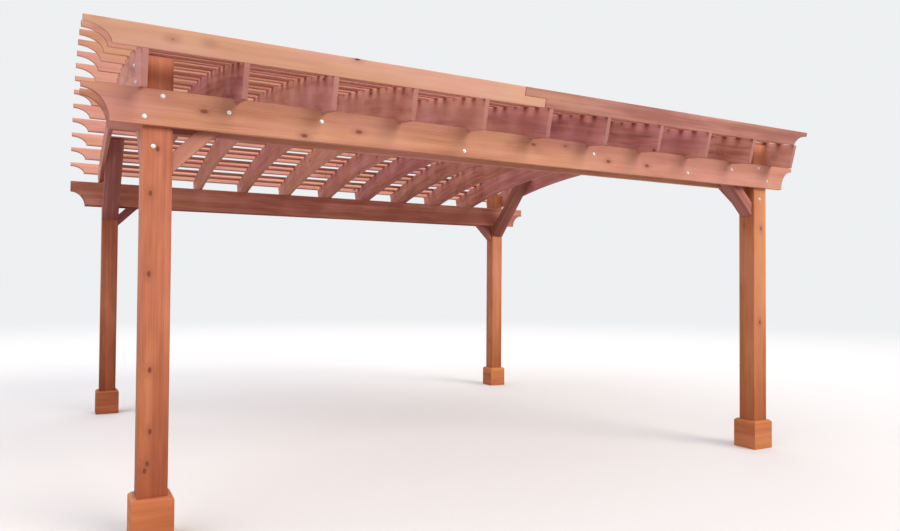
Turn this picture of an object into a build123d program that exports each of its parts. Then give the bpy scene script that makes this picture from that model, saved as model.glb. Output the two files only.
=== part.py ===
from build123d import *
from math import asin, cos, degrees, sin, sqrt
import os

# Wooden pergola with an arched roof. Millimetres, +Z up, X along the beams, Y from front to rear.
# The origin is on the ground, at the centre of the plan.
os.makedirs("parts", exist_ok=True)

# Post grid
post_size = 184
post_spacing_x = 5800
post_spacing_y = 5100
post_roof_gap = 30

# Thickness of every plank
plank = 38

# Boxed base of planks round each post
base_height = 286
base_bevel = 18

# Doubled beams, one plank on each side of a row of posts
beam_overhang = 358
beam_top = 2910
front_beam_depth = 235
rear_beam_depth = 286
beam_cove_run = 162
front_beam_tip = 37
rear_beam_tip = 106

# Roof arch, the curve that the rafters' top edges share
roof_half_span = 2974
roof_edge_above_beam = 167
roof_rise = 386

# Rafters
rafter_count = 11
rafter_depth = 286
outer_rafter_depth = 235
heel_below_beam_top = 26
tail_below_beam_top = 61
notch_clearance = 1

# Purlins, on edge across the rafters
purlin_count = 13
purlin_depth = 140
purlin_left_overhang = 320
purlin_right_overhang = 120
purlin_tip = 40
purlin_cove_run = 155

# Small slats, laid flat between the purlins
slats_per_bay = 2
slat_width = 64
slat_thickness = 19
slat_bays_per_group = 3

# Braces
brace_depth = 98
beam_brace_thickness = 140
beam_brace_drop = 292
beam_brace_top_gap = 5
rafter_brace_beam_gap = 2
rafter_brace_roof_gap = 6

# Values worked out from those above
half_x = post_spacing_x / 2
half_y = post_spacing_y / 2
half_post = post_size / 2
base_size = post_size + 2 * plank
outer_face = half_y + half_post + plank
beam_length = post_spacing_x + post_size + 2 * beam_overhang
roof_edge_z = beam_top + roof_edge_above_beam
heel_z = beam_top - heel_below_beam_top
tail_z = beam_top - tail_below_beam_top
arch_radius = (roof_half_span**2 + roof_rise**2) / (2 * roof_rise)
arch_centre_z = roof_edge_z + roof_rise - arch_radius
end_angle = asin(roof_half_span / arch_radius)
post_top = arch_centre_z + sqrt(arch_radius**2 - (half_y + half_post) ** 2) - post_roof_gap
rafter_reach_x = half_x + half_post + plank / 2
rafter_pitch = 2 * rafter_reach_x / (rafter_count - 1)
roof_half_length = rafter_reach_x + plank / 2
purlin_left = -roof_half_length - purlin_left_overhang
purlin_right = roof_half_length + purlin_right_overhang
purlin_angle = end_angle - asin(plank / 2 / arch_radius)
purlin_step = 2 * purlin_angle / (purlin_count - 1)
brace_rise = brace_depth * sqrt(2)

corners = {
    "front_left": (-1, -1),
    "front_right": (1, -1),
    "rear_left": (-1, 1),
    "rear_right": (1, 1),
}
parts = {}


# Shapes used more than once
def on_arch(angle, radius=arch_radius):
    """A point of the roof arch, as Y and Z."""
    return radius * sin(angle), arch_centre_z + radius * cos(angle)


def place_on_arch(angle):
    """A location on the arch, with its own Z pointing away from the arch's centre."""
    y, z = on_arch(angle)
    return Pos(0, y, z) * Rot(-degrees(angle), 0, 0)


def where_brace_meets_arch(foot_z):
    """The height at which a 45 degree brace's upper edge comes up to the rafters' top edges."""
    radius = arch_radius - rafter_brace_roof_gap
    reach = half_y - half_post + foot_z + brace_rise - arch_centre_z
    return arch_centre_z + (reach + sqrt(2 * radius**2 - reach**2)) / 2


def coved_plank(left, right, deep, tip, run):
    """A plank on edge, its bottom at Z 0, with a hollow curve sawn from both lower corners."""
    cove = Ellipse(run, deep - tip)
    profile = Pos((left + right) / 2, deep / 2) * Rectangle(right - left, deep)
    profile = profile - Pos(left, 0) * cove - Pos(right, 0) * cove
    return extrude(Plane.XZ * profile, plank / 2, both=True)


def arched_rafter(deep):
    """An arched plank, notched down over both beams, its tails planed off below from heel to tip."""
    inner_radius = arch_radius - deep
    top_left, top_right = on_arch(-end_angle), on_arch(end_angle)
    low_left, low_right = on_arch(-end_angle, inner_radius), on_arch(end_angle, inner_radius)
    edges = [
        ThreePointArc(top_left, on_arch(0), top_right),
        Line(top_right, low_right),
        ThreePointArc(low_right, on_arch(0, inner_radius), low_left),
        Line(low_left, top_left),
    ]
    profile = make_face(edges)
    notch_reach = outer_face + notch_clearance
    below = roof_edge_z
    seat = Pos(0, beam_top - below / 2) * Rectangle(2 * notch_reach, below)
    under_tails = Polyline(
        (-roof_half_span, 0),
        (-roof_half_span, tail_z),
        (-notch_reach, heel_z),
        (notch_reach, heel_z),
        (roof_half_span, tail_z),
        (roof_half_span, 0),
        close=True,
    )
    return extrude(Plane.YZ * (profile - seat - make_face(under_tails)), plank / 2, both=True)


def brace(foot_z, top_z):
    """A 45 degree brace, standing against a post's face at U 0 and leaning away along U."""
    outline = Polyline(
        (0, foot_z),
        (top_z - foot_z, top_z),
        (top_z - foot_z - brace_rise, top_z),
        (0, foot_z + brace_rise),
        close=True,
    )
    return make_face(outline)


# Posts and their boxed bases
base_outline = Rectangle(base_size, base_size) - Rectangle(post_size, post_size)
base = extrude(base_outline, base_height)
base_top_edges = base.edges().filter_by_position(Axis.Z, base_height, base_height)
base = chamfer(base_top_edges.filter_by(lambda edge: edge.length > post_size + 1), base_bevel)
post = Pos(0, 0, post_top / 2) * Box(post_size, post_size, post_top)
for name, (side_x, side_y) in corners.items():
    spot = Pos(side_x * half_x, side_y * half_y, 0)
    parts["post_" + name] = spot * post
    parts["post_base_" + name] = spot * base

# Beams
front_beam = coved_plank(-beam_length / 2, beam_length / 2, front_beam_depth, front_beam_tip, beam_cove_run)
rear_beam = coved_plank(-beam_length / 2, beam_length / 2, rear_beam_depth, rear_beam_tip, beam_cove_run)
outer_y = outer_face - plank / 2
inner_y = half_y - half_post - plank / 2
parts["beam_front_outer"] = Pos(0, -outer_y, beam_top - front_beam_depth) * front_beam
parts["beam_front_inner"] = Pos(0, -inner_y, beam_top - front_beam_depth) * front_beam
parts["beam_rear_inner"] = Pos(0, inner_y, beam_top - rear_beam_depth) * rear_beam
parts["beam_rear_outer"] = Pos(0, outer_y, beam_top - rear_beam_depth) * rear_beam

# Rafters, the outer two bolted to the posts' outer faces
inner_rafter = arched_rafter(rafter_depth)
outer_rafter = arched_rafter(outer_rafter_depth)
for index in range(rafter_count):
    is_outer = index in (0, rafter_count - 1)
    shape = outer_rafter if is_outer else inner_rafter
    parts[f"rafter_{index + 1:02d}"] = Pos(index * rafter_pitch - rafter_reach_x, 0, 0) * shape

# Purlins
purlin = coved_plank(purlin_left, purlin_right, purlin_depth, purlin_tip, purlin_cove_run)
for index in range(purlin_count):
    parts[f"purlin_{index + 1:02d}"] = place_on_arch(index * purlin_step - purlin_angle) * purlin

# Slats, grouped by the bays between purlins
slat = Pos(0, 0, slat_thickness / 2) * Box(2 * roof_half_length, slat_width, slat_thickness)
group_names = ["front", "mid_front", "mid_rear", "rear"]
for group, group_name in enumerate(group_names):
    slats = []
    for bay in range(group * slat_bays_per_group, (group + 1) * slat_bays_per_group):
        for row in range(slats_per_bay):
            steps = bay + (row + 1) / (slats_per_bay + 1)
            slats.append(place_on_arch(steps * purlin_step - purlin_angle) * slat)
    parts["slats_" + group_name] = Compound(slats)

# Braces from the posts to the beams, in the gap between the two planks
beam_brace_foot_z = beam_top - front_beam_depth - beam_brace_drop
beam_brace_top_z = beam_top - beam_brace_top_gap
beam_brace = extrude(Plane.XZ * brace(beam_brace_foot_z, beam_brace_top_z), beam_brace_thickness / 2, both=True)
for name, (side_x, side_y) in corners.items():
    shape = beam_brace if side_x < 0 else mirror(beam_brace, Plane.YZ)
    parts["beam_brace_" + name] = Pos(side_x * (half_x - half_post), side_y * half_y, 0) * shape

# Braces from the posts up beside the outer rafters, as wide as the posts
deeper_beam = max(front_beam_depth, rear_beam_depth)
rafter_brace_foot_z = beam_top - deeper_beam - plank - brace_rise - rafter_brace_beam_gap
rafter_brace_top_z = where_brace_meets_arch(rafter_brace_foot_z)
rafter_brace = extrude(Plane.YZ * brace(rafter_brace_foot_z, rafter_brace_top_z), half_post, both=True)
for name, (side_x, side_y) in corners.items():
    shape = rafter_brace if side_y < 0 else mirror(rafter_brace, Plane.XZ)
    parts["rafter_brace_" + name] = Pos(side_x * half_x, side_y * (half_y - half_post), 0) * shape

for name, shape in parts.items():
    export_step(shape, f"parts/{name}.step")
print(len(parts), "parts written")
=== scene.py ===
import bpy
import math
import numpy as np
from mathutils import Matrix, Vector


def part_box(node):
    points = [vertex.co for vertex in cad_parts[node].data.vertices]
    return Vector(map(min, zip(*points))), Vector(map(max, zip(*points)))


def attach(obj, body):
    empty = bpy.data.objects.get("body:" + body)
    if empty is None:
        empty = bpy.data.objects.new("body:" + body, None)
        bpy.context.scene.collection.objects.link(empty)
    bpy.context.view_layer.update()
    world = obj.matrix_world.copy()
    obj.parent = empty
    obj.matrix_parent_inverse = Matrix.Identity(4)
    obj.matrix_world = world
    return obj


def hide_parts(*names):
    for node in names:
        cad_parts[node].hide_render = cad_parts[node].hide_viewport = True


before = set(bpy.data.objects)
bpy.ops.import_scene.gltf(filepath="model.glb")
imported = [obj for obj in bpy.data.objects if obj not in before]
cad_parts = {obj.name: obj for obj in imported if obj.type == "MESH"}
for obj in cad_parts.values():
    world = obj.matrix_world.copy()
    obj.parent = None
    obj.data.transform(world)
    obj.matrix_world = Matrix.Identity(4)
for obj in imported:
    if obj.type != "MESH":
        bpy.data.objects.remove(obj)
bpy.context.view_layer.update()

# A cedar pergola with an arched roof. Metres, +Z up, X along the beams, the front at -Y.
print("frame loaded,", len(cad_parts), "nodes")


# Boards: a flat outline, swept across the thickness, with every edge eased

boardLook = {
    "plank": 0.038,
    "ease": 0.003,          # radius of the sanded edges
    "easeSteps": 3,
    "sharpTurn": 25,        # degrees, corners gentler than this stay as drawn
    "cornerEase": 1.2,      # the outline's own corners, as a share of the ease
    "cornerShare": 0.45,    # the most of a short side that one eased corner takes
    "mitreLimit": 0.5,      # keeps the inset at a very pointed corner from running away
    "crispFrom": 40,        # degrees, edges as sharp as this aren't shaded smooth
    "seed": 41,
    "logFrom": (0, 0.05, 0.02),      # where in the log the boards are sawn, along it and across
    "logTo": (9, 0.14, 0.07),
    "toneSpread": 0.5,
}
chance = np.random.default_rng(boardLook["seed"])


def easedCorners(outline, radius):
    # Every outward corner becomes an arc that touches both sides: its centre is the corner plus
    # r / sin(half angle) along the bisector, and it runs on from the first touching point by 180 degrees
    # less the corner's own angle.
    before = np.roll(outline, 1, 0) - outline
    after = np.roll(outline, -1, 0) - outline
    lengthBefore = np.linalg.norm(before, axis=1)
    lengthAfter = np.linalg.norm(after, axis=1)
    before = before / lengthBefore[:, None]
    after = after / lengthAfter[:, None]
    half = np.arccos(np.clip((before * after).sum(1), -1, 1)) / 2
    turn = math.pi - 2 * half
    outward = after[:, 0] * before[:, 1] - after[:, 1] * before[:, 0] > 0
    sharp = outward & (turn > math.radians(boardLook["sharpTurn"]))
    shorter = np.minimum(lengthBefore, lengthAfter)
    cut = np.minimum(radius / np.tan(half.clip(0.01)), boardLook["cornerShare"] * shorter)
    own = cut * np.tan(half)
    toCentre = (before + after) * (cut / np.maximum(1 + (before * after).sum(1), 1e-9))[:, None]
    fromCentre = before * cut[:, None] - toCentre
    first = np.arctan2(fromCentre[:, 1], fromCentre[:, 0])
    angle = first[:, None] + np.linspace(0, 1, boardLook["easeSteps"] + 1)[None] * turn[:, None]
    arc = toCentre[:, None] + own[:, None, None] * np.stack([np.cos(angle), np.sin(angle)], 2)
    points = outline[:, None] + np.where(sharp[:, None, None], arc, 0)
    keep = np.ones(points.shape[:2], bool)
    keep[~sharp, 1:] = False
    return points[keep]


def outlineNormals(outline):
    # The outward normal at a vertex is the sum of its two sides' normals, scaled so that both sides move
    # by the same distance.
    side = np.roll(outline, -1, 0) - outline
    side = side / np.linalg.norm(side, axis=1)[:, None]
    normal = np.stack([side[:, 1], -side[:, 0]], 1)
    both = normal + np.roll(normal, 1, 0)
    return both / np.maximum((both * normal).sum(1), boardLook["mitreLimit"])[:, None], normal


def sweptFaces(ringCount, count):
    # Vertex k of ring j is number j * count + k: quads between neighbouring rings, and a face at each end.
    ring = np.arange(ringCount - 1)[:, None] * count
    at = np.arange(count)[None]
    following = (at + 1) % count
    quads = np.stack([ring + at, ring + following, ring + count + following, ring + count + at], 2)
    faces = quads.reshape(-1, 4).tolist()
    faces.append(list(range(count))[::-1])
    faces.append(list(range((ringCount - 1) * count, ringCount * count)))
    return faces


def easedSolid(outline, low, high, ease=None):
    # Ring j of the sweep is outline - normal * r(1 - sin a) at a thickness of low + r(1 - cos a), with a
    # from 0 on the face to 90 degrees on the edge, and the same from the other face.
    ease = boardLook["ease"] if ease is None else ease
    outline = easedCorners(np.asarray(outline, float), ease * boardLook["cornerEase"])
    mitre, sideNormal = outlineNormals(outline)
    angle = np.linspace(0, math.pi / 2, boardLook["easeSteps"] + 1)
    inset = ease * (1 - np.sin(angle))
    rise = ease * (1 - np.cos(angle))
    inset = np.concatenate([inset, inset[::-1]])
    depth = np.concatenate([low + rise, high - rise[::-1]])
    flat = outline[None] - mitre[None] * inset[:, None, None]
    ringCount, count = flat.shape[:2]
    depth = np.broadcast_to(depth[:, None, None], (ringCount, count, 1))
    points = np.concatenate([flat, depth], 2).reshape(-1, 3)
    sides = np.tile(sideNormal, (ringCount - 1, 1))
    return {"points": points, "faces": sweptFaces(ringCount, count), "sides": sides}


def enclosed(points, faces):
    # Six times the volume: the sum of the triple products of each face's fan of triangles.
    fans = np.concatenate([
        np.stack([np.full(len(f) - 2, f[0]), f[1:-1], f[2:]], 1) for f in faces
    ])
    a, b, c = points[fans[:, 0]], points[fans[:, 1]], points[fans[:, 2]]
    return float((a * np.cross(b, c)).sum())


def board(solid, place, grain, tone=None):
    # One board of a piece: place and grain turn the solid's own coordinates into the frame's and the
    # wood's. How far a face is end grain is the share of its normal that runs along the grain.
    points = place(solid["points"])
    faces = solid["faces"]
    if enclosed(points - points.mean(0), faces) < 0:
        faces = [f[::-1] for f in faces]
    shift = chance.uniform(boardLook["logFrom"], boardLook["logTo"])
    wood = grain["coordinates"](solid["points"]) + shift
    along = np.asarray(grain["along"], float)
    endCut = np.abs(solid["sides"] @ along[:2])
    endCut = np.concatenate([endCut, np.full(2, abs(along[2]))])
    tone = chance.normal(0, boardLook["toneSpread"]) if tone is None else tone
    return {"points": points, "faces": faces, "wood": wood, "endCut": endCut, "tone": tone}


def joined(boards, key):
    return np.concatenate([b[key] for b in boards]).astype(np.float32)


def makePiece(name, boards, material, node=None):
    # Several boards joined in one mesh, with the wood's own coordinates kept as attributes.
    starts = np.cumsum([0] + [len(b["points"]) for b in boards])
    faces = [[i + s for i in f] for b, s in zip(boards, starts) for f in b["faces"]]
    mesh = bpy.data.meshes.new(name)
    mesh.from_pydata(np.concatenate([b["points"] for b in boards]).tolist(), [], faces)
    if "wood" in boards[0]:
        wood = mesh.attributes.new("wood", "FLOAT_VECTOR", "POINT")
        wood.data.foreach_set("vector", joined(boards, "wood").ravel())
        tone = mesh.attributes.new("tone", "FLOAT", "POINT")
        tones = np.concatenate([np.full(len(b["points"]), b["tone"]) for b in boards])
        tone.data.foreach_set("value", tones.astype(np.float32))
        endCut = mesh.attributes.new("endCut", "FLOAT", "FACE")
        endCut.data.foreach_set("value", joined(boards, "endCut"))
    sizes = np.array([len(f) for f in faces])
    mesh.polygons.foreach_set("use_smooth", sizes == 4)
    mesh.set_sharp_from_angle(angle=math.radians(boardLook["crispFrom"]))
    mesh.materials.append(material)
    mesh.validate()
    piece = bpy.data.objects.new(name, mesh)
    bpy.context.scene.collection.objects.link(piece)
    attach(piece, "root")
    if node:
        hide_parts(node)
    return piece


def nodeBox(node):
    low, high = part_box(node)
    return np.array(low), np.array(high)


def camel(node):
    words = node.split("_")
    return words[0] + "".join(w.capitalize() for w in words[1:])


# Finishes

def linear(colour):
    # sRGB hex to linear: c / 12.92 up to 0.04045, ((c + 0.055) / 1.055) ** 2.4 above it
    c = [int(colour[i:i + 2], 16) / 255 for i in (1, 3, 5)]
    return [v / 12.92 if v <= 0.04045 else ((v + 0.055) / 1.055) ** 2.4 for v in c] + [1]


def addNode(tree, kind, inputs=(), ramp=None, **settings):
    node = tree.nodes.new("ShaderNode" + kind)
    for setting, value in settings.items():
        setattr(node, setting, value)
    if ramp:
        marks = node.color_ramp.elements
        while len(marks) < len(ramp):
            marks.new(0.5)
        for mark, (position, colour) in zip(marks, ramp):
            mark.position = position
            mark.color = colour
    for socket, value in dict(inputs).items():
        if isinstance(value, bpy.types.NodeSocket):
            tree.links.new(value, node.inputs[socket])
        else:
            node.inputs[socket].default_value = value
    return node


def newMaterial(name):
    material = bpy.data.materials.new(name)
    material.use_nodes = True
    tree = material.node_tree
    tree.nodes.clear()
    output = tree.nodes.new("ShaderNodeOutputMaterial")
    shader = tree.nodes.new("ShaderNodeBsdfPrincipled")
    tree.links.new(shader.outputs[0], output.inputs[0])
    return material, tree, shader


cedarLook = {
    "early": "#deab95",        # pale wood laid down in spring
    "middle": "#cc947e",
    "late": "#a76b55",         # the dark line that ends each year
    "knot": "#6b3328",
    "endGrain": "#96584a",
    "rose": "#fff0f9",         # the stain's two tints, one over the other in broad patches
    "amber": "#fff6e4",
    "foot": None,              # painted shade near the ground, multiplied in towards the foot
    "footHeight": (0.1, 1.5),  # full at the first, gone at the second
    "endGrainShade": (0.35, 1.0, 0.7),     # from and to, as shares of end grain, and strength
    "roughness": (0.54, 0.72),
    "fibreMarks": (0.3, 0.7),  # the fibre noise that gives the first and the second roughness
    "ior": 1.5,
    "specular": 0.25,          # oil that has soaked in, not a varnish
    # What each layer adds to the paleness, and where late, middle and early wood stand on that scale
    "ringShare": 0.11,
    "fibreShare": 0.12,
    "streakShare": 0.34,
    "cloudShare": 0.50,
    "toneShare": 0.07,
    "paleness": (0.30, 0.47, 0.66),
    "toneWarmth": 0.09,        # how far a pale board leans to amber and a dark one to rose
    "tintMarks": (0.38, 0.62),
    # Sizes in metres, and scales in cells per metre along the grain and the two ways across it
    "ringGap": 0.009,          # real cedar has 2 to 4 mm, drawn wider so that it shows at 5 m
    "seasons": ((0.0, 0.9), (0.45, 0.7), (0.82, 0.1), (1.0, 0.85)),      # spring to spring, 1 the palest
    "ringMean": 0.6,           # the seasons' own paleness, taken off again
    "ringClear": (0.42, 0.60),
    "ringFaint": 0.25,         # strength of the growth lines where they are least clear
    "heartScale": (0.55, 2.4, 2.4),
    "heartWander": (0, 0.10, 0.10),
    "fibreScale": (3.0, 150, 150),
    "streakScale": (0.45, 22, 22),
    "cloudScale": (0.9, 4.5, 4.5),
    "patchScale": (0.7, 3.0, 3.0),
    "knotScale": (2.4, 4.2, 4.2),
    "noiseRoughness": 0.6,
    "knotReach": 0.015,
    "knotSolid": 0.45,         # share of the reach that is dark through
    "knotHalo": (0.008, 0.050, 0.45),      # from, to, strength
    "knotBend": (0.060, 0.022),            # how far out the lines bend, and by how much
    "knotSquash": (0.55, 1, 1),            # named knots are longer along the grain, here along X
    "relief": 0.0008,
    "ringRelief": 0.4,         # the growth lines' share in it, beside the fibres
    "bumpStrength": 0.2,
}


def cedarFinish(name, look=None, arch=None, knots=()):
    # Western red cedar, planed, under a satin oil stain: warm red-brown with pale and dark growth lines,
    # small dark knots, and a soft gloss that breaks up along the fibres.
    look = {**cedarLook, **(look or {})}
    material, tree, shader = newMaterial(name)
    wood = addNode(tree, "Attribute", attribute_name="wood").outputs["Vector"]
    tone = addNode(tree, "Attribute", attribute_name="tone").outputs["Fac"]
    endCut = addNode(tree, "Attribute", attribute_name="endCut").outputs["Fac"]
    place = addNode(tree, "TexCoord").outputs["Object"]
    if arch:      # along an arched plank the grain coordinates are arc length and radius, from X, Y and Z
        centre = (0, 0, arch["centreZ"])
        fromCentre = addNode(tree, "VectorMath", {0: place, 1: centre}, operation="SUBTRACT")
        part = addNode(tree, "SeparateXYZ", {0: fromCentre.outputs[0]})
        bent = addNode(tree, "Math", {0: part.outputs[1], 1: part.outputs[2]}, operation="ARCTAN2")
        along = addNode(tree, "Math", {0: bent.outputs[0], 1: arch["radius"]}, operation="MULTIPLY")
        upright = {0: fromCentre.outputs[0], 1: (0, 1, 1)}
        upright = addNode(tree, "VectorMath", upright, operation="MULTIPLY")
        reach = addNode(tree, "VectorMath", {0: upright.outputs[0]}, operation="LENGTH")
        depth = addNode(tree, "Math", {0: reach.outputs["Value"], 1: arch["radius"]}, operation="SUBTRACT")
        own = addNode(tree, "CombineXYZ", {0: along.outputs[0], 1: depth.outputs[0], 2: part.outputs[0]})
        wood = addNode(tree, "VectorMath", {0: own.outputs[0], 1: wood}, operation="ADD").outputs[0]

    # Knots: the nearest one bends the growth lines round it and darkens the middle
    cell = addNode(tree, "Mapping", {0: wood, "Scale": look["knotScale"]}).outputs[0]
    nearKnot = addNode(tree, "TexVoronoi", {"Vector": cell, "Scale": 1.0, "Randomness": 1.0})
    inCells, cellSize = nearKnot.outputs["Distance"], 1 / look["knotScale"][1]
    knotGap = addNode(tree, "Math", {0: inCells, 1: cellSize}, operation="MULTIPLY").outputs[0]
    for knot in knots:
        away = addNode(tree, "VectorMath", {0: place, 1: knot}, operation="SUBTRACT").outputs[0]
        away = {0: away, 1: look["knotSquash"]}
        away = addNode(tree, "VectorMath", away, operation="MULTIPLY").outputs[0]
        away = addNode(tree, "VectorMath", {0: away}, operation="LENGTH").outputs["Value"]
        knotGap = addNode(tree, "Math", {0: knotGap, 1: away}, operation="MINIMUM").outputs[0]
    bendReach, bendBy = look["knotBend"]
    bend = addNode(tree, "MapRange", {0: knotGap, 1: 0.0, 2: bendReach, 3: bendBy, 4: 0.0},
                   interpolation_type="SMOOTHSTEP").outputs[0]
    knotReach = look["knotReach"]
    solidReach = knotReach * look["knotSolid"]
    knotCore = addNode(tree, "MapRange", {0: knotGap, 1: solidReach, 2: knotReach, 3: 1.0, 4: 0.0},
                       interpolation_type="SMOOTHSTEP").outputs[0]
    haloFrom, haloTo, haloStrength = look["knotHalo"]
    knotHalo = addNode(tree, "MapRange", {0: knotGap, 1: haloFrom, 2: haloTo, 3: haloStrength, 4: 0.0},
                       interpolation_type="SMOOTHSTEP").outputs[0]

    # Growth lines: rings round the log's heart, which wanders along the board
    slow = addNode(tree, "Mapping", {0: wood, "Scale": look["heartScale"]}).outputs[0]
    wander = addNode(tree, "TexNoise", {"Vector": slow, "Scale": 1.0, "Detail": 3.0}).outputs["Color"]
    wander = addNode(tree, "VectorMath", {0: wander, 1: (0.5, 0.5, 0.5)}, operation="SUBTRACT").outputs[0]
    wander = {0: wander, 1: look["heartWander"]}
    wander = addNode(tree, "VectorMath", wander, operation="MULTIPLY").outputs[0]
    heart = addNode(tree, "VectorMath", {0: wood, 1: (0, 1, 1)}, operation="MULTIPLY").outputs[0]
    heart = addNode(tree, "VectorMath", {0: heart, 1: wander}, operation="ADD").outputs[0]
    fromHeart = addNode(tree, "VectorMath", {0: heart}, operation="LENGTH").outputs["Value"]
    fromHeart = addNode(tree, "Math", {0: fromHeart, 1: bend}, operation="ADD").outputs[0]
    years = addNode(tree, "Math", {0: fromHeart, 1: look["ringGap"]}, operation="DIVIDE").outputs[0]
    year = addNode(tree, "Math", {0: years}, operation="FRACT").outputs[0]
    seasons = [(mark, (pale, pale, pale, 1)) for mark, pale in look["seasons"]]
    ring = addNode(tree, "ValToRGB", {0: year}, ramp=seasons)

    # Fibres, streaks along the board and clouds of stain
    def grainNoise(scale, detail):
        drawn = addNode(tree, "Mapping", {0: wood, "Scale": scale}).outputs[0]
        noise = {"Vector": drawn, "Scale": 1.0, "Detail": detail, "Roughness": look["noiseRoughness"]}
        return addNode(tree, "TexNoise", noise).outputs["Fac"]

    fibre = grainNoise(look["fibreScale"], 3.0)
    streak = grainNoise(look["streakScale"], 4.0)
    cloud = grainNoise(look["cloudScale"], 3.0)
    patch = grainNoise(look["patchScale"], 1.0)

    # The growth lines are clear in some stretches only
    clearFrom, clearTo = look["ringClear"]
    clear = {0: patch, 1: clearFrom, 2: clearTo, 3: look["ringFaint"], 4: 1.0}
    clear = addNode(tree, "MapRange", clear).outputs[0]
    ring = addNode(tree, "Math", {0: ring.outputs[0], 1: look["ringMean"]}, operation="SUBTRACT").outputs[0]
    ring = addNode(tree, "Math", {0: ring, 1: clear}, operation="MULTIPLY").outputs[0]
    paleness = addNode(tree, "Math", {0: ring, 1: look["ringShare"]}, operation="MULTIPLY").outputs[0]
    layers = ((fibre, "fibreShare"), (streak, "streakShare"), (cloud, "cloudShare"), (tone, "toneShare"))
    for layer, share in layers:
        added = {0: layer, 1: look[share], 2: paleness}
        paleness = addNode(tree, "Math", added, operation="MULTIPLY_ADD").outputs[0]
    shades = [linear(look[shade]) for shade in ("late", "middle", "early")]
    colour = addNode(tree, "ValToRGB", {0: paleness}, ramp=list(zip(look["paleness"], shades))).outputs[0]

    leaning = {0: tone, 1: look["toneWarmth"], 2: patch}
    warmth = addNode(tree, "Math", leaning, operation="MULTIPLY_ADD").outputs[0]
    tints = [linear(look["rose"]), linear(look["amber"])]
    tint = addNode(tree, "ValToRGB", {0: warmth}, ramp=list(zip(look["tintMarks"], tints))).outputs[0]
    colour = addNode(tree, "MixRGB", {"Fac": 1.0, "Color1": colour, "Color2": tint},
                     blend_type="MULTIPLY").outputs[0]
    # Painted shade: near the ground the colour is multiplied by the foot colour, darker towards the bottom
    if look["foot"]:
        height = addNode(tree, "SeparateXYZ", {0: place}).outputs[2]
        footFrom, footTo = look["footHeight"]
        paintedFootShade = addNode(tree, "MapRange", {0: height, 1: footFrom, 2: footTo, 3: 1.0, 4: 0.0}).outputs[0]
        colour = addNode(tree, "MixRGB", {"Fac": paintedFootShade, "Color1": colour, "Color2": linear(look["foot"])},
                         blend_type="MULTIPLY").outputs[0]
    endFrom, endTo, endStrength = look["endGrainShade"]
    endShade = {0: endCut, 1: endFrom, 2: endTo, 3: 0.0, 4: endStrength}
    endShade = addNode(tree, "MapRange", endShade).outputs[0]
    for mask, shade in ((endShade, "endGrain"), (knotHalo, "late"), (knotCore, "knot")):
        mixed = {"Fac": mask, "Color1": colour, "Color2": linear(look[shade])}
        colour = addNode(tree, "MixRGB", mixed).outputs[0]
    tree.links.new(colour, shader.inputs["Base Color"])

    smooth, rough = look["roughness"]
    smoothAt, roughAt = look["fibreMarks"]
    sheen = addNode(tree, "MapRange", {0: fibre, 1: smoothAt, 2: roughAt, 3: smooth, 4: rough}).outputs[0]
    tree.links.new(sheen, shader.inputs["Roughness"])
    shader.inputs["IOR"].default_value = look["ior"]
    shader.inputs["Specular IOR Level"].default_value = look["specular"]
    height = {0: ring, 1: look["ringRelief"], 2: fibre}
    height = addNode(tree, "Math", height, operation="MULTIPLY_ADD").outputs[0]
    relief = {"Strength": look["bumpStrength"], "Distance": look["relief"], "Height": height}
    bump = addNode(tree, "Bump", relief)
    tree.links.new(bump.outputs[0], shader.inputs["Normal"])
    return material


# The zinc is near white: partly the metal's own pale grey, partly painted highlight
zincLook = {"dark": "#dfe1e1", "pale": "#f4f5f5", "crystals": 260, "metallic": 0.35, "roughness": 0.38}


def galvanisedFinish():
    # Hot-dip galvanised steel, dull, with a faint mottling of 4 mm crystals: pale zinc drawn near white,
    # the metal's own grey with a painted highlight in it.
    material, tree, shader = newMaterial("hotDipGalvanisedSteel")
    spot = addNode(tree, "TexCoord").outputs["Object"]
    flakes = addNode(tree, "TexVoronoi", {"Vector": spot, "Scale": zincLook["crystals"]})
    zinc = addNode(tree, "ValToRGB", {0: flakes.outputs["Color"]}, ramp=[
        (0.0, linear(zincLook["dark"])), (1.0, linear(zincLook["pale"])),
    ])
    tree.links.new(zinc.outputs[0], shader.inputs["Base Color"])
    shader.inputs["Metallic"].default_value = zincLook["metallic"]
    shader.inputs["Roughness"].default_value = zincLook["roughness"]
    return material


archSize = {"halfSpan": 2.974, "edgeZ": 3.077, "rise": 0.386}
archSize["radius"] = (archSize["halfSpan"]**2 + archSize["rise"]**2) / (2 * archSize["rise"])
archSize["centreZ"] = archSize["edgeZ"] + archSize["rise"] - archSize["radius"]

# The knots that show most, and each kind of timber's colours, some with painted light or shade in them
frontPostKnots = [
    (-2.899, -2.642, 2.53), (-2.939, -2.642, 2.24), (-2.941, -2.642, 1.72), (-2.927, -2.642, 1.103),
    (-2.921, -2.642, 0.709), (-2.934, -2.642, 0.504), (-2.949, -2.642, 0.460), (2.917, -2.642, 2.26),
]
frontBeamKnots = [(-2.62, -2.680, 2.80), (-1.94, -2.680, 2.71), (-1.53, -2.680, 2.78), (0.84, -2.680, 2.77)]
# The posts' foot colour is painted shade towards the ground
postTones = {
    "early": "#d99f77", "middle": "#c5805b", "late": "#9b5a3e", "knot": "#7d3d2d", "foot": "#d1b698",
    "knotSquash": (1, 1, 0.6), "ringShare": 0.08,
}
beamTones = {"knot": "#8c5040", "knotReach": 0.019}
baseTones = {"early": "#d3935f", "middle": "#bd7548", "late": "#935232"}
purlinTones = {"early": "#dfb5a0", "middle": "#d1a08c", "late": "#ab7666"}
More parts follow.
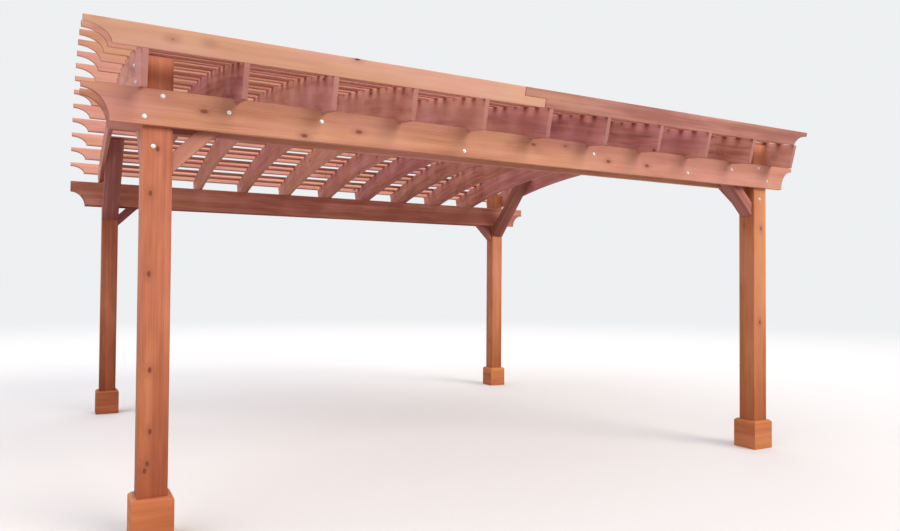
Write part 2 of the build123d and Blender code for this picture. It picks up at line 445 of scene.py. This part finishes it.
# Painted light: rafters and slats paler than the real wood, and the rafters' end grain less dark
rafterTones = {"early": "#d8a295", "middle": "#c4887c", "late": "#9a5f58", "endGrain": "#b07c72"}
slatTones = {"early": "#d6a38d", "middle": "#c48b79", "late": "#9d6656"}
braceTones = {"early": "#d2a090", "middle": "#bd8579", "late": "#935a50"}
postWood = cedarFinish("oiledCedarPost", postTones)
knottyPostWood = cedarFinish("oiledCedarPostKnotty", postTones, knots=frontPostKnots)
baseWood = cedarFinish("oiledCedarBaseBoard", baseTones)
beamWood = cedarFinish("oiledCedarBeam", beamTones)
knottyBeamWood = cedarFinish("oiledCedarBeamKnotty", beamTones, knots=frontBeamKnots)
purlinWood = cedarFinish("oiledCedarPurlin", purlinTones)
rafterWood = cedarFinish("oiledCedarRafter", rafterTones, arch=archSize)
slatWood = cedarFinish("oiledCedarSlat", slatTones)
braceWood = cedarFinish("oiledCedarBrace", braceTones)
zincSteel = galvanisedFinish()
print("finishes made")


# Posts: a square section carried up to the top, the grain upright

cornerNames = ["front_left", "front_right", "rear_left", "rear_right"]
postLook = {
    "ease": 0.004,
    # The rear left post is darker: painted shade of the roof over it
    "tones": {"front_left": -0.9, "front_right": 0.1, "rear_left": -1.9, "rear_right": 0.1},
}
uprightGrain = {"coordinates": lambda p: p[:, [2, 0, 1]], "along": (0, 0, 1)}

for corner in cornerNames:
    low, high = nodeBox("post_" + corner)
    middle = (low + high) / 2
    half = (high - low)[:2] / 2
    square = middle[:2] + half * np.array([(-1, -1), (1, -1), (1, 1), (-1, 1)])
    solid = easedSolid(square, low[2], high[2], postLook["ease"])
    post = board(solid, lambda p: p, uprightGrain, postLook["tones"][corner])
    material = knottyPostWood if "front" in corner else postWood
    makePiece(camel("post_" + corner), [post], material, "post_" + corner)
print("posts made")


# Post bases: four mitred boards round each post, the outer top edge planed off

baseLook = {
    "bevel": 0.018,
    "ease": 0.002,
    "mitreGrain": 0.4,      # how much of a mitred end shows as end grain
    # added to the boards' own tones; the rear left is darker, painted shade, the front right paler, painted
    # light
    "tones": {"front_left": 0.0, "front_right": 1.0, "rear_left": -1.8, "rear_right": 0.4},
}


def baseBoards(corner):
    low, high = nodeBox("post_base_" + corner)
    middle = (low + high) / 2
    wide = (high[0] - low[0]) / 2
    plank, bevel = boardLook["plank"], baseLook["bevel"]
    inner = wide - plank
    top = high[2]
    section = [(0, 0), (plank, 0), (plank, top - bevel), (plank - bevel, top), (0, top)]
    boards = []
    for quarter in range(4):
        turn = quarter * math.pi / 2
        out = np.array([math.cos(turn), math.sin(turn)])
        side = np.array([-out[1], out[0]])

        def place(p):
            # The board's length grows with the distance out, so that its ends are mitred at 45 degrees.
            reach = inner + p[:, 0:1]
            flat = middle[:2] + out * reach + side * (p[:, 2:3] / inner * reach)
            return np.concatenate([flat, p[:, 1:2]], 1)

        solid = easedSolid(section, -inner, inner, baseLook["ease"])
        grain = {"coordinates": lambda p: p[:, [2, 1, 0]], "along": (0, 0, baseLook["mitreGrain"])}
        boards.append(board(solid, place, grain))
        boards[-1]["tone"] += baseLook["tones"][corner]
    return boards


for corner in cornerNames:
    node = "post_base_" + corner
    makePiece(camel(node), baseBoards(corner), baseWood, node)
print("post bases made")


# Beams and purlins: planks on edge, with a hollow curve sawn from both lower corners

coveLook = {
    "steps": 20,
    "beamRun": 0.162,
    "frontTip": 0.037,
    "rearTip": 0.106,
    "purlinRun": 0.155,
    "purlinTip": 0.040,
    "spliceGap": 0.0012,
    "spliceUpper": -0.271,
    "spliceLower": -0.069,
    # The rear beams are darker: painted shade
    "beamTones": {"front": 0.3, "rear": -1.8},
    "firstPurlinTones": (1.1, -1.6),       # left and right board
}


def cove(corner, run, rise, start, end):
    # A quarter of an ellipse round the plank's own lower corner: corner + (run cos a, rise sin a).
    angle = np.radians(np.linspace(start, end, coveLook["steps"]))
    return np.stack([corner[0] + run * np.cos(angle), corner[1] + rise * np.sin(angle)], 1)


def covedOutline(left, right, low, high, tip, run):
    leftCove = cove((left, low), run, high - low - tip, 90, 0)
    rightCove = cove((right, low), run, high - low - tip, 180, 90)
    return np.concatenate([leftCove, rightCove, [(right, high), (left, high)]])


lengthwiseGrain = {"coordinates": lambda p: p.copy(), "along": (1, 0, 0)}

for node in ["beam_front_outer", "beam_front_inner", "beam_rear_inner", "beam_rear_outer"]:
    low, high = nodeBox(node)
    tip = coveLook["frontTip"] if "front" in node else coveLook["rearTip"]
    outline = covedOutline(low[0], high[0], low[2], high[2], tip, coveLook["beamRun"])
    solid = easedSolid(outline, low[1], high[1])
    tone = coveLook["beamTones"]["front" if "front" in node else "rear"]
    beam = board(solid, lambda p: p[:, [0, 2, 1]], lengthwiseGrain, tone)
    material = knottyBeamWood if node == "beam_front_outer" else beamWood
    makePiece(camel(node), [beam], material, node)
print("beams made")


def onArch(angle):
    # Seat of a board that stands on the arch: its lowest point, the way out and the way along the arch.
    out = np.array([0, math.sin(angle), math.cos(angle)])
    along = np.array([0, math.cos(angle), -math.sin(angle)])
    seat = archSize["radius"] * out + np.array([0, 0, archSize["centreZ"]])
    return seat, out, along


def placeOnArch(angle):
    seat, out, along = onArch(angle)
    return lambda p: seat + p[:, 0:1] * np.array([1, 0, 0]) + p[:, 1:2] * out + p[:, 2:3] * along


purlinLook = {"count": 13, "depth": 0.140}
endAngle = math.asin(archSize["halfSpan"] / archSize["radius"])
purlinReach = endAngle - math.asin(boardLook["plank"] / 2 / archSize["radius"])
purlinStep = 2 * purlinReach / (purlinLook["count"] - 1)


def splicedPurlin(left, right):
    # Two boards that meet in a half lap: the left one's tongue runs on below, the right one's above.
    top = purlinLook["depth"]
    middle = top / 2
    outline = covedOutline(left, right, 0, top, coveLook["purlinTip"], coveLook["purlinRun"])
    steps = coveLook["steps"]
    gap = coveLook["spliceGap"] / 2
    upper, lower = coveLook["spliceUpper"], coveLook["spliceLower"]
    leftBoard = np.concatenate([
        outline[:steps],
        [(lower - gap, 0), (lower - gap, middle - gap), (upper - gap, middle - gap), (upper - gap, top)],
        [(left, top)],
    ])
    rightBoard = np.concatenate([
        [(lower + gap, 0)], outline[steps:2 * steps],
        [(right, top), (upper + gap, top), (upper + gap, middle + gap), (lower + gap, middle + gap)],
    ])
    return leftBoard, rightBoard


for index in range(purlinLook["count"]):
    node = f"purlin_{index + 1:02d}"
    low, high = nodeBox(node)
    boards = []
    for outline, tone in zip(splicedPurlin(low[0], high[0]), coveLook["firstPurlinTones"]):
        solid = easedSolid(outline, -boardLook["plank"] / 2, boardLook["plank"] / 2)
        place = placeOnArch(index * purlinStep - purlinReach)
        boards.append(board(solid, place, lengthwiseGrain, tone if index == 0 else None))
    makePiece(camel(node), boards, purlinWood, node)
print("purlins made")


# Slats: thin strips laid flat on the rafters

slatLook = {"perBay": 2, "width": 0.064, "thickness": 0.019, "ease": 0.002, "baysPerGroup": 3}

for group, groupName in enumerate(["front", "mid_front", "mid_rear", "rear"]):
    node = "slats_" + groupName
    low, high = nodeBox(node)
    strips = []
    for bay in range(group * slatLook["baysPerGroup"], (group + 1) * slatLook["baysPerGroup"]):
        for row in range(slatLook["perBay"]):
            steps = bay + (row + 1) / (slatLook["perBay"] + 1)
            half, top = slatLook["width"] / 2, slatLook["thickness"]
            outline = [(low[0], 0), (high[0], 0), (high[0], top), (low[0], top)]
            solid = easedSolid(outline, -half, half, slatLook["ease"])
            strips.append(board(solid, placeOnArch(steps * purlinStep - purlinReach), lengthwiseGrain))
    makePiece(camel(node), strips, slatWood, node)
print("slats made")


# Rafters: arched planks over both beams, the inner ones notched down over them

rafterLook = {
    "count": 11,
    "depth": 0.286,
    "outerDepth": 0.235,
    "seatZ": 2.910,
    "seatReach": 2.681,
    "heelZ": 2.884,
    "tailZ": 2.849,
    "topSteps": 72,
    "bottomSteps": 60,
    "tailSteps": 12,
    "heelStep": 0.01,       # to the next point inside the heel, where there is no notch
}


def rafterOutline(depth, notched):
    # The top is an arc of the roof's radius R, the underside one of R - depth, cut level at the seats. The
    # tails are planed off below by a line from heel to tip, and the ends are square to the arch.
    radius, centre = archSize["radius"], archSize["centreZ"]
    heel, seat, reach = rafterLook["heelZ"], rafterLook["seatZ"], rafterLook["seatReach"]
    slope = (rafterLook["tailZ"] - heel) / (archSize["halfSpan"] - reach)
    lean = math.tan(endAngle)
    endY = (archSize["halfSpan"] - (archSize["edgeZ"] - heel + slope * reach) * lean) / (1 - slope * lean)

    def under(y):
        return np.sqrt((radius - depth)**2 - y**2) + centre

    tailY = np.linspace(endY, reach, rafterLook["tailSteps"])
    tailPoints = np.stack([tailY, np.maximum(under(tailY), heel + slope * (tailY - reach))], 1)
    seatY = reach - rafterLook["heelStep"]
    if notched:
        seatY = math.sqrt((radius - depth)**2 - (seat - centre)**2)
    innerY = np.linspace(seatY, 0, rafterLook["bottomSteps"] // 2, endpoint=False)
    innerPoints = np.stack([innerY, under(innerY)], 1)
    if notched:
        innerPoints = np.concatenate([[(reach, seat)], innerPoints])
    rightHalf = np.concatenate([tailPoints, innerPoints])      # from the right end in to the middle
    leftHalf = rightHalf * np.array([-1, 1])
    bottom = np.concatenate([leftHalf, [(0, under(0))], rightHalf[::-1]])
    angle = np.linspace(endAngle, -endAngle, rafterLook["topSteps"])
    top = np.stack([radius * np.sin(angle), radius * np.cos(angle) + centre], 1)
    return np.concatenate([bottom, top])


# The rafters' finish works out its own grain coordinates, so that each board adds only its shift.
rafterGrain = {"coordinates": lambda p: p * 0, "along": (1, 0, 0)}
for index in range(rafterLook["count"]):
    node = f"rafter_{index + 1:02d}"
    low, high = nodeBox(node)
    outermost = index in (0, rafterLook["count"] - 1)
    depth = rafterLook["outerDepth"] if outermost else rafterLook["depth"]
    solid = easedSolid(rafterOutline(depth, not outermost), low[0], high[0])
    plank = board(solid, lambda p: p[:, [2, 0, 1]], rafterGrain)
    makePiece(camel(node), [plank], rafterWood, node)
print("rafters made")


# Braces: 45 degree struts with level and upright cuts

braceLook = {
    "rise": 0.098 * math.sqrt(2),      # the brace's depth, measured upright
    "ease": 0.004,
    # The rear braces are darker: painted shade
    "tones": {"front_left": -0.2, "front_right": -0.4, "rear_left": -2.2, "rear_right": -1.7},
}


def braceBoard(kind, corner, alongX):
    low, high = nodeBox(kind + corner)
    axis = 0 if alongX else 1
    outward = np.sign(low[axis] + high[axis])
    postFace = high[axis] if outward > 0 else low[axis]
    foot, top, rise = low[2], high[2], braceLook["rise"]
    reach = top - foot
    outline = [(0, foot), (reach, top), (reach - rise, top), (0, foot + rise)]
    solid = easedSolid(outline, low[1 - axis], high[1 - axis], braceLook["ease"])
    slope = math.sqrt(0.5)

    def place(p):
        lean = postFace - outward * p[:, 0]
        return np.stack([lean, p[:, 2], p[:, 1]] if alongX else [p[:, 2], lean, p[:, 1]], 1)

    def alongBrace(p):
        # The board's own coordinates turned by 45 degrees: (u + v) / sqrt 2 and (v - u) / sqrt 2.
        return np.stack([(p[:, 0] + p[:, 1]) * slope, (p[:, 1] - p[:, 0]) * slope, p[:, 2]], 1)

    grain = {"coordinates": alongBrace, "along": (slope, slope, 0)}
    return board(solid, place, grain, braceLook["tones"][corner])


for corner in cornerNames:
    for kind, alongX in (("beam_brace_", True), ("rafter_brace_", False)):
        strut = braceBoard(kind, corner, alongX)
        makePiece(camel(kind + corner), [strut], braceWood, kind + corner)
print("braces made")


# Bolts: hexagon heads on washers

boltLook = {
    "washer": 0.0145,       # radius
    "washerThick": 0.0025,
    "flats": 0.0085,        # half the width across the head's flats
    "headHeight": 0.0075,
    "ease": 0.0008,
    "chamfer": 0.002,       # at the head's top edge
    "crown": 0.96,          # the flat top's radius, as a share of the flats
    "sides": 24,
}
beamBolts = [
    (-2.985, 2.726), (-2.877, 2.868), (-2.459, 2.812), (-1.815, 2.825), (-0.639, 2.724),
    (0.672, 2.821), (1.822, 2.744), (2.434, 2.826), (2.834, 2.873), (2.956, 2.751),
]
postBolts = [(-2.926, 2.546), (2.890, 2.563)]
rafterBolts = [(-2.484, 3.095), (-2.602, 2.955), (2.484, 3.095), (2.602, 2.955)]


def turned(profile, flats=None):
    # A profile of radius and height turned round its axis; with flats, the radius is that of a hexagon,
    # flats / cos(angle from the nearest flat), wherever the profile is wider than it.
    profile = np.asarray(profile, float)
    angle = np.arange(boltLook["sides"]) * 2 * math.pi / boltLook["sides"]
    radius = np.broadcast_to(profile[:, :1], (len(profile), len(angle)))
    if flats:
        sixth = math.pi / 3
        hexagon = flats / np.cos((angle + sixth / 2) % sixth - sixth / 2)
        radius = np.minimum(radius, hexagon[None])
    points = np.stack([radius * np.cos(angle), radius * np.sin(angle),
                       np.broadcast_to(profile[:, 1:], radius.shape)], 2).reshape(-1, 3)
    return points, sweptFaces(len(profile), len(angle))


def boltHead():
    # A washer and a hexagon whose corners are flats / cos 30 degrees from the middle.
    thick, wide, ease = boltLook["washerThick"], boltLook["washer"], boltLook["ease"]
    flats, top = boltLook["flats"], thick + boltLook["headHeight"]
    corner, crown = flats * 1.155, flats * boltLook["crown"]
    washer = turned([(wide - ease, 0), (wide, ease), (wide, thick - ease), (wide - ease, thick)])
    head = turned([(corner, thick), (corner, top - boltLook["chamfer"]), (crown, top)], flats)
    return [washer, head]


def boltSet(name, spots, faceAt, outward, axis):
    # Bolt heads on a face square to an axis; spots are the other two coordinates.
    boards = []
    for first, second in spots:
        for points, faces in boltHead():
            flat = points[:, :2] + np.array([first, second])
            level = faceAt + outward * points[:, 2]
            place = [flat[:, 0], flat[:, 1]]
            place.insert(axis, level)
            moved = np.stack(place, 1)
            if enclosed(moved - moved.mean(0), faces) < 0:
                faces = [f[::-1] for f in faces]
            boards.append({"points": moved, "faces": faces})
    return makePiece(name, boards, zincSteel)


frontOuter, rearOuter = nodeBox("beam_front_outer"), nodeBox("beam_rear_outer")
frontPost, rearPost = nodeBox("post_front_left"), nodeBox("post_rear_left")
leftRafter, rightRafter = nodeBox("rafter_01"), nodeBox("rafter_11")
boltSet("boltHeadsFrontBeam", beamBolts, frontOuter[0][1], -1, 1)
boltSet("boltHeadsFrontPosts", postBolts, frontPost[0][1], -1, 1)
boltSet("boltHeadsRearBeam", beamBolts, rearOuter[1][1], 1, 1)
boltSet("boltHeadsRearPosts", postBolts, rearPost[1][1], 1, 1)
boltSet("boltHeadsLeftRafter", rafterBolts, leftRafter[0][0], -1, 0)
boltSet("boltHeadsRightRafter", rafterBolts, rightRafter[1][0], 1, 0)
print("bolts made")


# Studio: a pale floor that fades into the backdrop, soft light and the camera

studioLook = {
    "floor": "#dfdcd6",
    "floorBounce": "#ada89f",     # what the floor throws back on the timber
    "backdrop": "#eef0f2",
    "fadeFrom": 9.0,
    "fadeTo": 26.0,
    "floorHalf": 60.0,
    "floorRoughness": 0.9,
    "horizon": "#e4e6f2",
    "zenith": "#eef0fa",
    "horizonStrength": 0.25,
    "zenithStrength": 1.10,
    "zenithFrom": 0.9,            # a direction's height at which the sky is at its full strength
    "sun": {"strength": 2.15, "colour": "#fff5ea", "angle": 36, "from": (0.42, -0.80, 0.50)},
    "leftFill": {"strength": 1.6, "colour": "#eceffc", "angle": 70, "from": (-0.78, -0.18, 0.60)},
    "rearFill": {"strength": 0.6, "colour": "#f2f4fb", "angle": 70, "from": (0.25, 0.80, 0.55)},
}

floorMesh = bpy.data.meshes.new("studioFloor")
reach = studioLook["floorHalf"]
floorCorners = [(-reach, -reach, 0), (reach, -reach, 0), (reach, reach, 0), (-reach, reach, 0)]
floorMesh.from_pydata(floorCorners, [], [(0, 1, 2, 3)])
floor = bpy.data.objects.new("studioFloor", floorMesh)
bpy.context.scene.collection.objects.link(floor)

# A matt pale floor that takes the shadow near the object and turns to the backdrop's colour further out
floorMaterial, tree, shader = newMaterial("paleMattFloor")
shader.inputs["Roughness"].default_value = studioLook["floorRoughness"]
seen = addNode(tree, "LightPath").outputs["Is Camera Ray"]
bounce, pale = linear(studioLook["floorBounce"]), linear(studioLook["floor"])
shade = addNode(tree, "MixRGB", {"Fac": seen, "Color1": bounce, "Color2": pale})
tree.links.new(shade.outputs[0], shader.inputs["Base Color"])
spot = addNode(tree, "TexCoord").outputs["Object"]
away = addNode(tree, "VectorMath", {0: spot}, operation="LENGTH").outputs["Value"]
fade = addNode(tree, "MapRange", {0: away, 1: studioLook["fadeFrom"], 2: studioLook["fadeTo"]},
               interpolation_type="SMOOTHSTEP").outputs[0]
fade = addNode(tree, "Math", {0: fade, 1: seen}, operation="MULTIPLY").outputs[0]
glow = addNode(tree, "Emission", {"Color": linear(studioLook["backdrop"])}).outputs[0]
blendShader = addNode(tree, "MixShader", {0: fade, 1: shader.outputs[0], 2: glow})
tree.links.new(blendShader.outputs[0], [n for n in tree.nodes if n.type == "OUTPUT_MATERIAL"][0].inputs[0])
floorMesh.materials.append(floorMaterial)

world = bpy.data.worlds.new("softSky")
bpy.context.scene.world = world
world.use_nodes = True
tree = world.node_tree
tree.nodes.clear()

# The sky's light grows from the horizon to overhead by a smooth step of the direction's height
direction = addNode(tree, "TexCoord").outputs["Generated"]
height = addNode(tree, "SeparateXYZ", {0: direction}).outputs[2]
height = addNode(tree, "MapRange", {0: height, 1: 0.0, 2: studioLook["zenithFrom"]},
                 interpolation_type="SMOOTHSTEP").outputs[0]
low, high = studioLook["horizonStrength"], studioLook["zenithStrength"]
skyStrength = addNode(tree, "MapRange", {0: height, 3: low, 4: high})
skyColour = addNode(tree, "MixRGB", {"Fac": height, "Color1": linear(studioLook["horizon"]),
                    "Color2": linear(studioLook["zenith"])})
sky = addNode(tree, "Background", {"Color": skyColour.outputs[0], "Strength": skyStrength.outputs[0]})
backdrop = addNode(tree, "Background", {"Color": linear(studioLook["backdrop"]), "Strength": 1.0})
seen = addNode(tree, "LightPath").outputs
shown = addNode(tree, "Math", {0: seen["Is Camera Ray"], 1: seen["Is Glossy Ray"]}, operation="MAXIMUM")
mixed = addNode(tree, "MixShader", {0: shown.outputs[0], 1: sky.outputs[0], 2: backdrop.outputs[0]})
output = tree.nodes.new("ShaderNodeOutputWorld")
tree.links.new(mixed.outputs[0], output.inputs[0])


def softLamp(name, look):
    # A wide sun lamp whose own Z points to where the light comes from.
    lamp = bpy.data.lights.new(name, "SUN")
    lamp.energy = look["strength"]
    lamp.color = linear(look["colour"])[:3]
    lamp.angle = math.radians(look["angle"])
    towards = np.array(look["from"]) / np.linalg.norm(look["from"])
    level = np.cross((0, 0, 1), towards)
    level = level / np.linalg.norm(level)
    lampObject = bpy.data.objects.new(name, lamp)
    bpy.context.scene.collection.objects.link(lampObject)
    turn = np.stack([level, np.cross(towards, level), towards], 1)
    lampObject.matrix_world = Matrix(turn.tolist()).to_4x4()


softLamp("softSun", studioLook["sun"])
softLamp("leftFill", studioLook["leftFill"])
softLamp("rearFill", studioLook["rearFill"])

cameraLook = {
    "place": (-3.435, -7.632, 1.673),
    "yaw": 28.670,              # degrees to the right of +Y
    "pitch": 1.177,
    "roll": 0.375,
    "focal": 717.9,             # in pixels of a 900 pixel wide picture
    "middle": (453.81, 268.47),
    "picture": (900, 531),
    "sensor": 36.0,
    "farthest": 300,            # metres, past the floor's far edge
}
yaw, pitch, roll = [math.radians(cameraLook[k]) for k in ("yaw", "pitch", "roll")]
ahead = np.array([math.sin(yaw) * math.cos(pitch), math.cos(yaw) * math.cos(pitch), math.sin(pitch)])
right = np.array([math.cos(yaw), -math.sin(yaw), 0])
up = np.cross(right, ahead)
rightRolled = right * math.cos(roll) + up * math.sin(roll)
upRolled = up * math.cos(roll) - right * math.sin(roll)
camera = bpy.data.cameras.new("viewer")
camera.sensor_width = cameraLook["sensor"]
camera.lens = cameraLook["focal"] / cameraLook["picture"][0] * cameraLook["sensor"]
camera.shift_x = 0.5 - cameraLook["middle"][0] / cameraLook["picture"][0]
camera.shift_y = (cameraLook["middle"][1] - cameraLook["picture"][1] / 2) / cameraLook["picture"][0]
camera.clip_end = cameraLook["farthest"]
viewer = bpy.data.objects.new("viewer", camera)
bpy.context.scene.collection.objects.link(viewer)
facing = Matrix(np.stack([rightRolled, upRolled, -ahead], 1).tolist()).to_4x4()
viewer.matrix_world = Matrix.Translation(cameraLook["place"]) @ facing
bpy.context.scene.camera = viewer
bpy.context.scene.view_settings.view_transform = "Standard"
print("studio made")
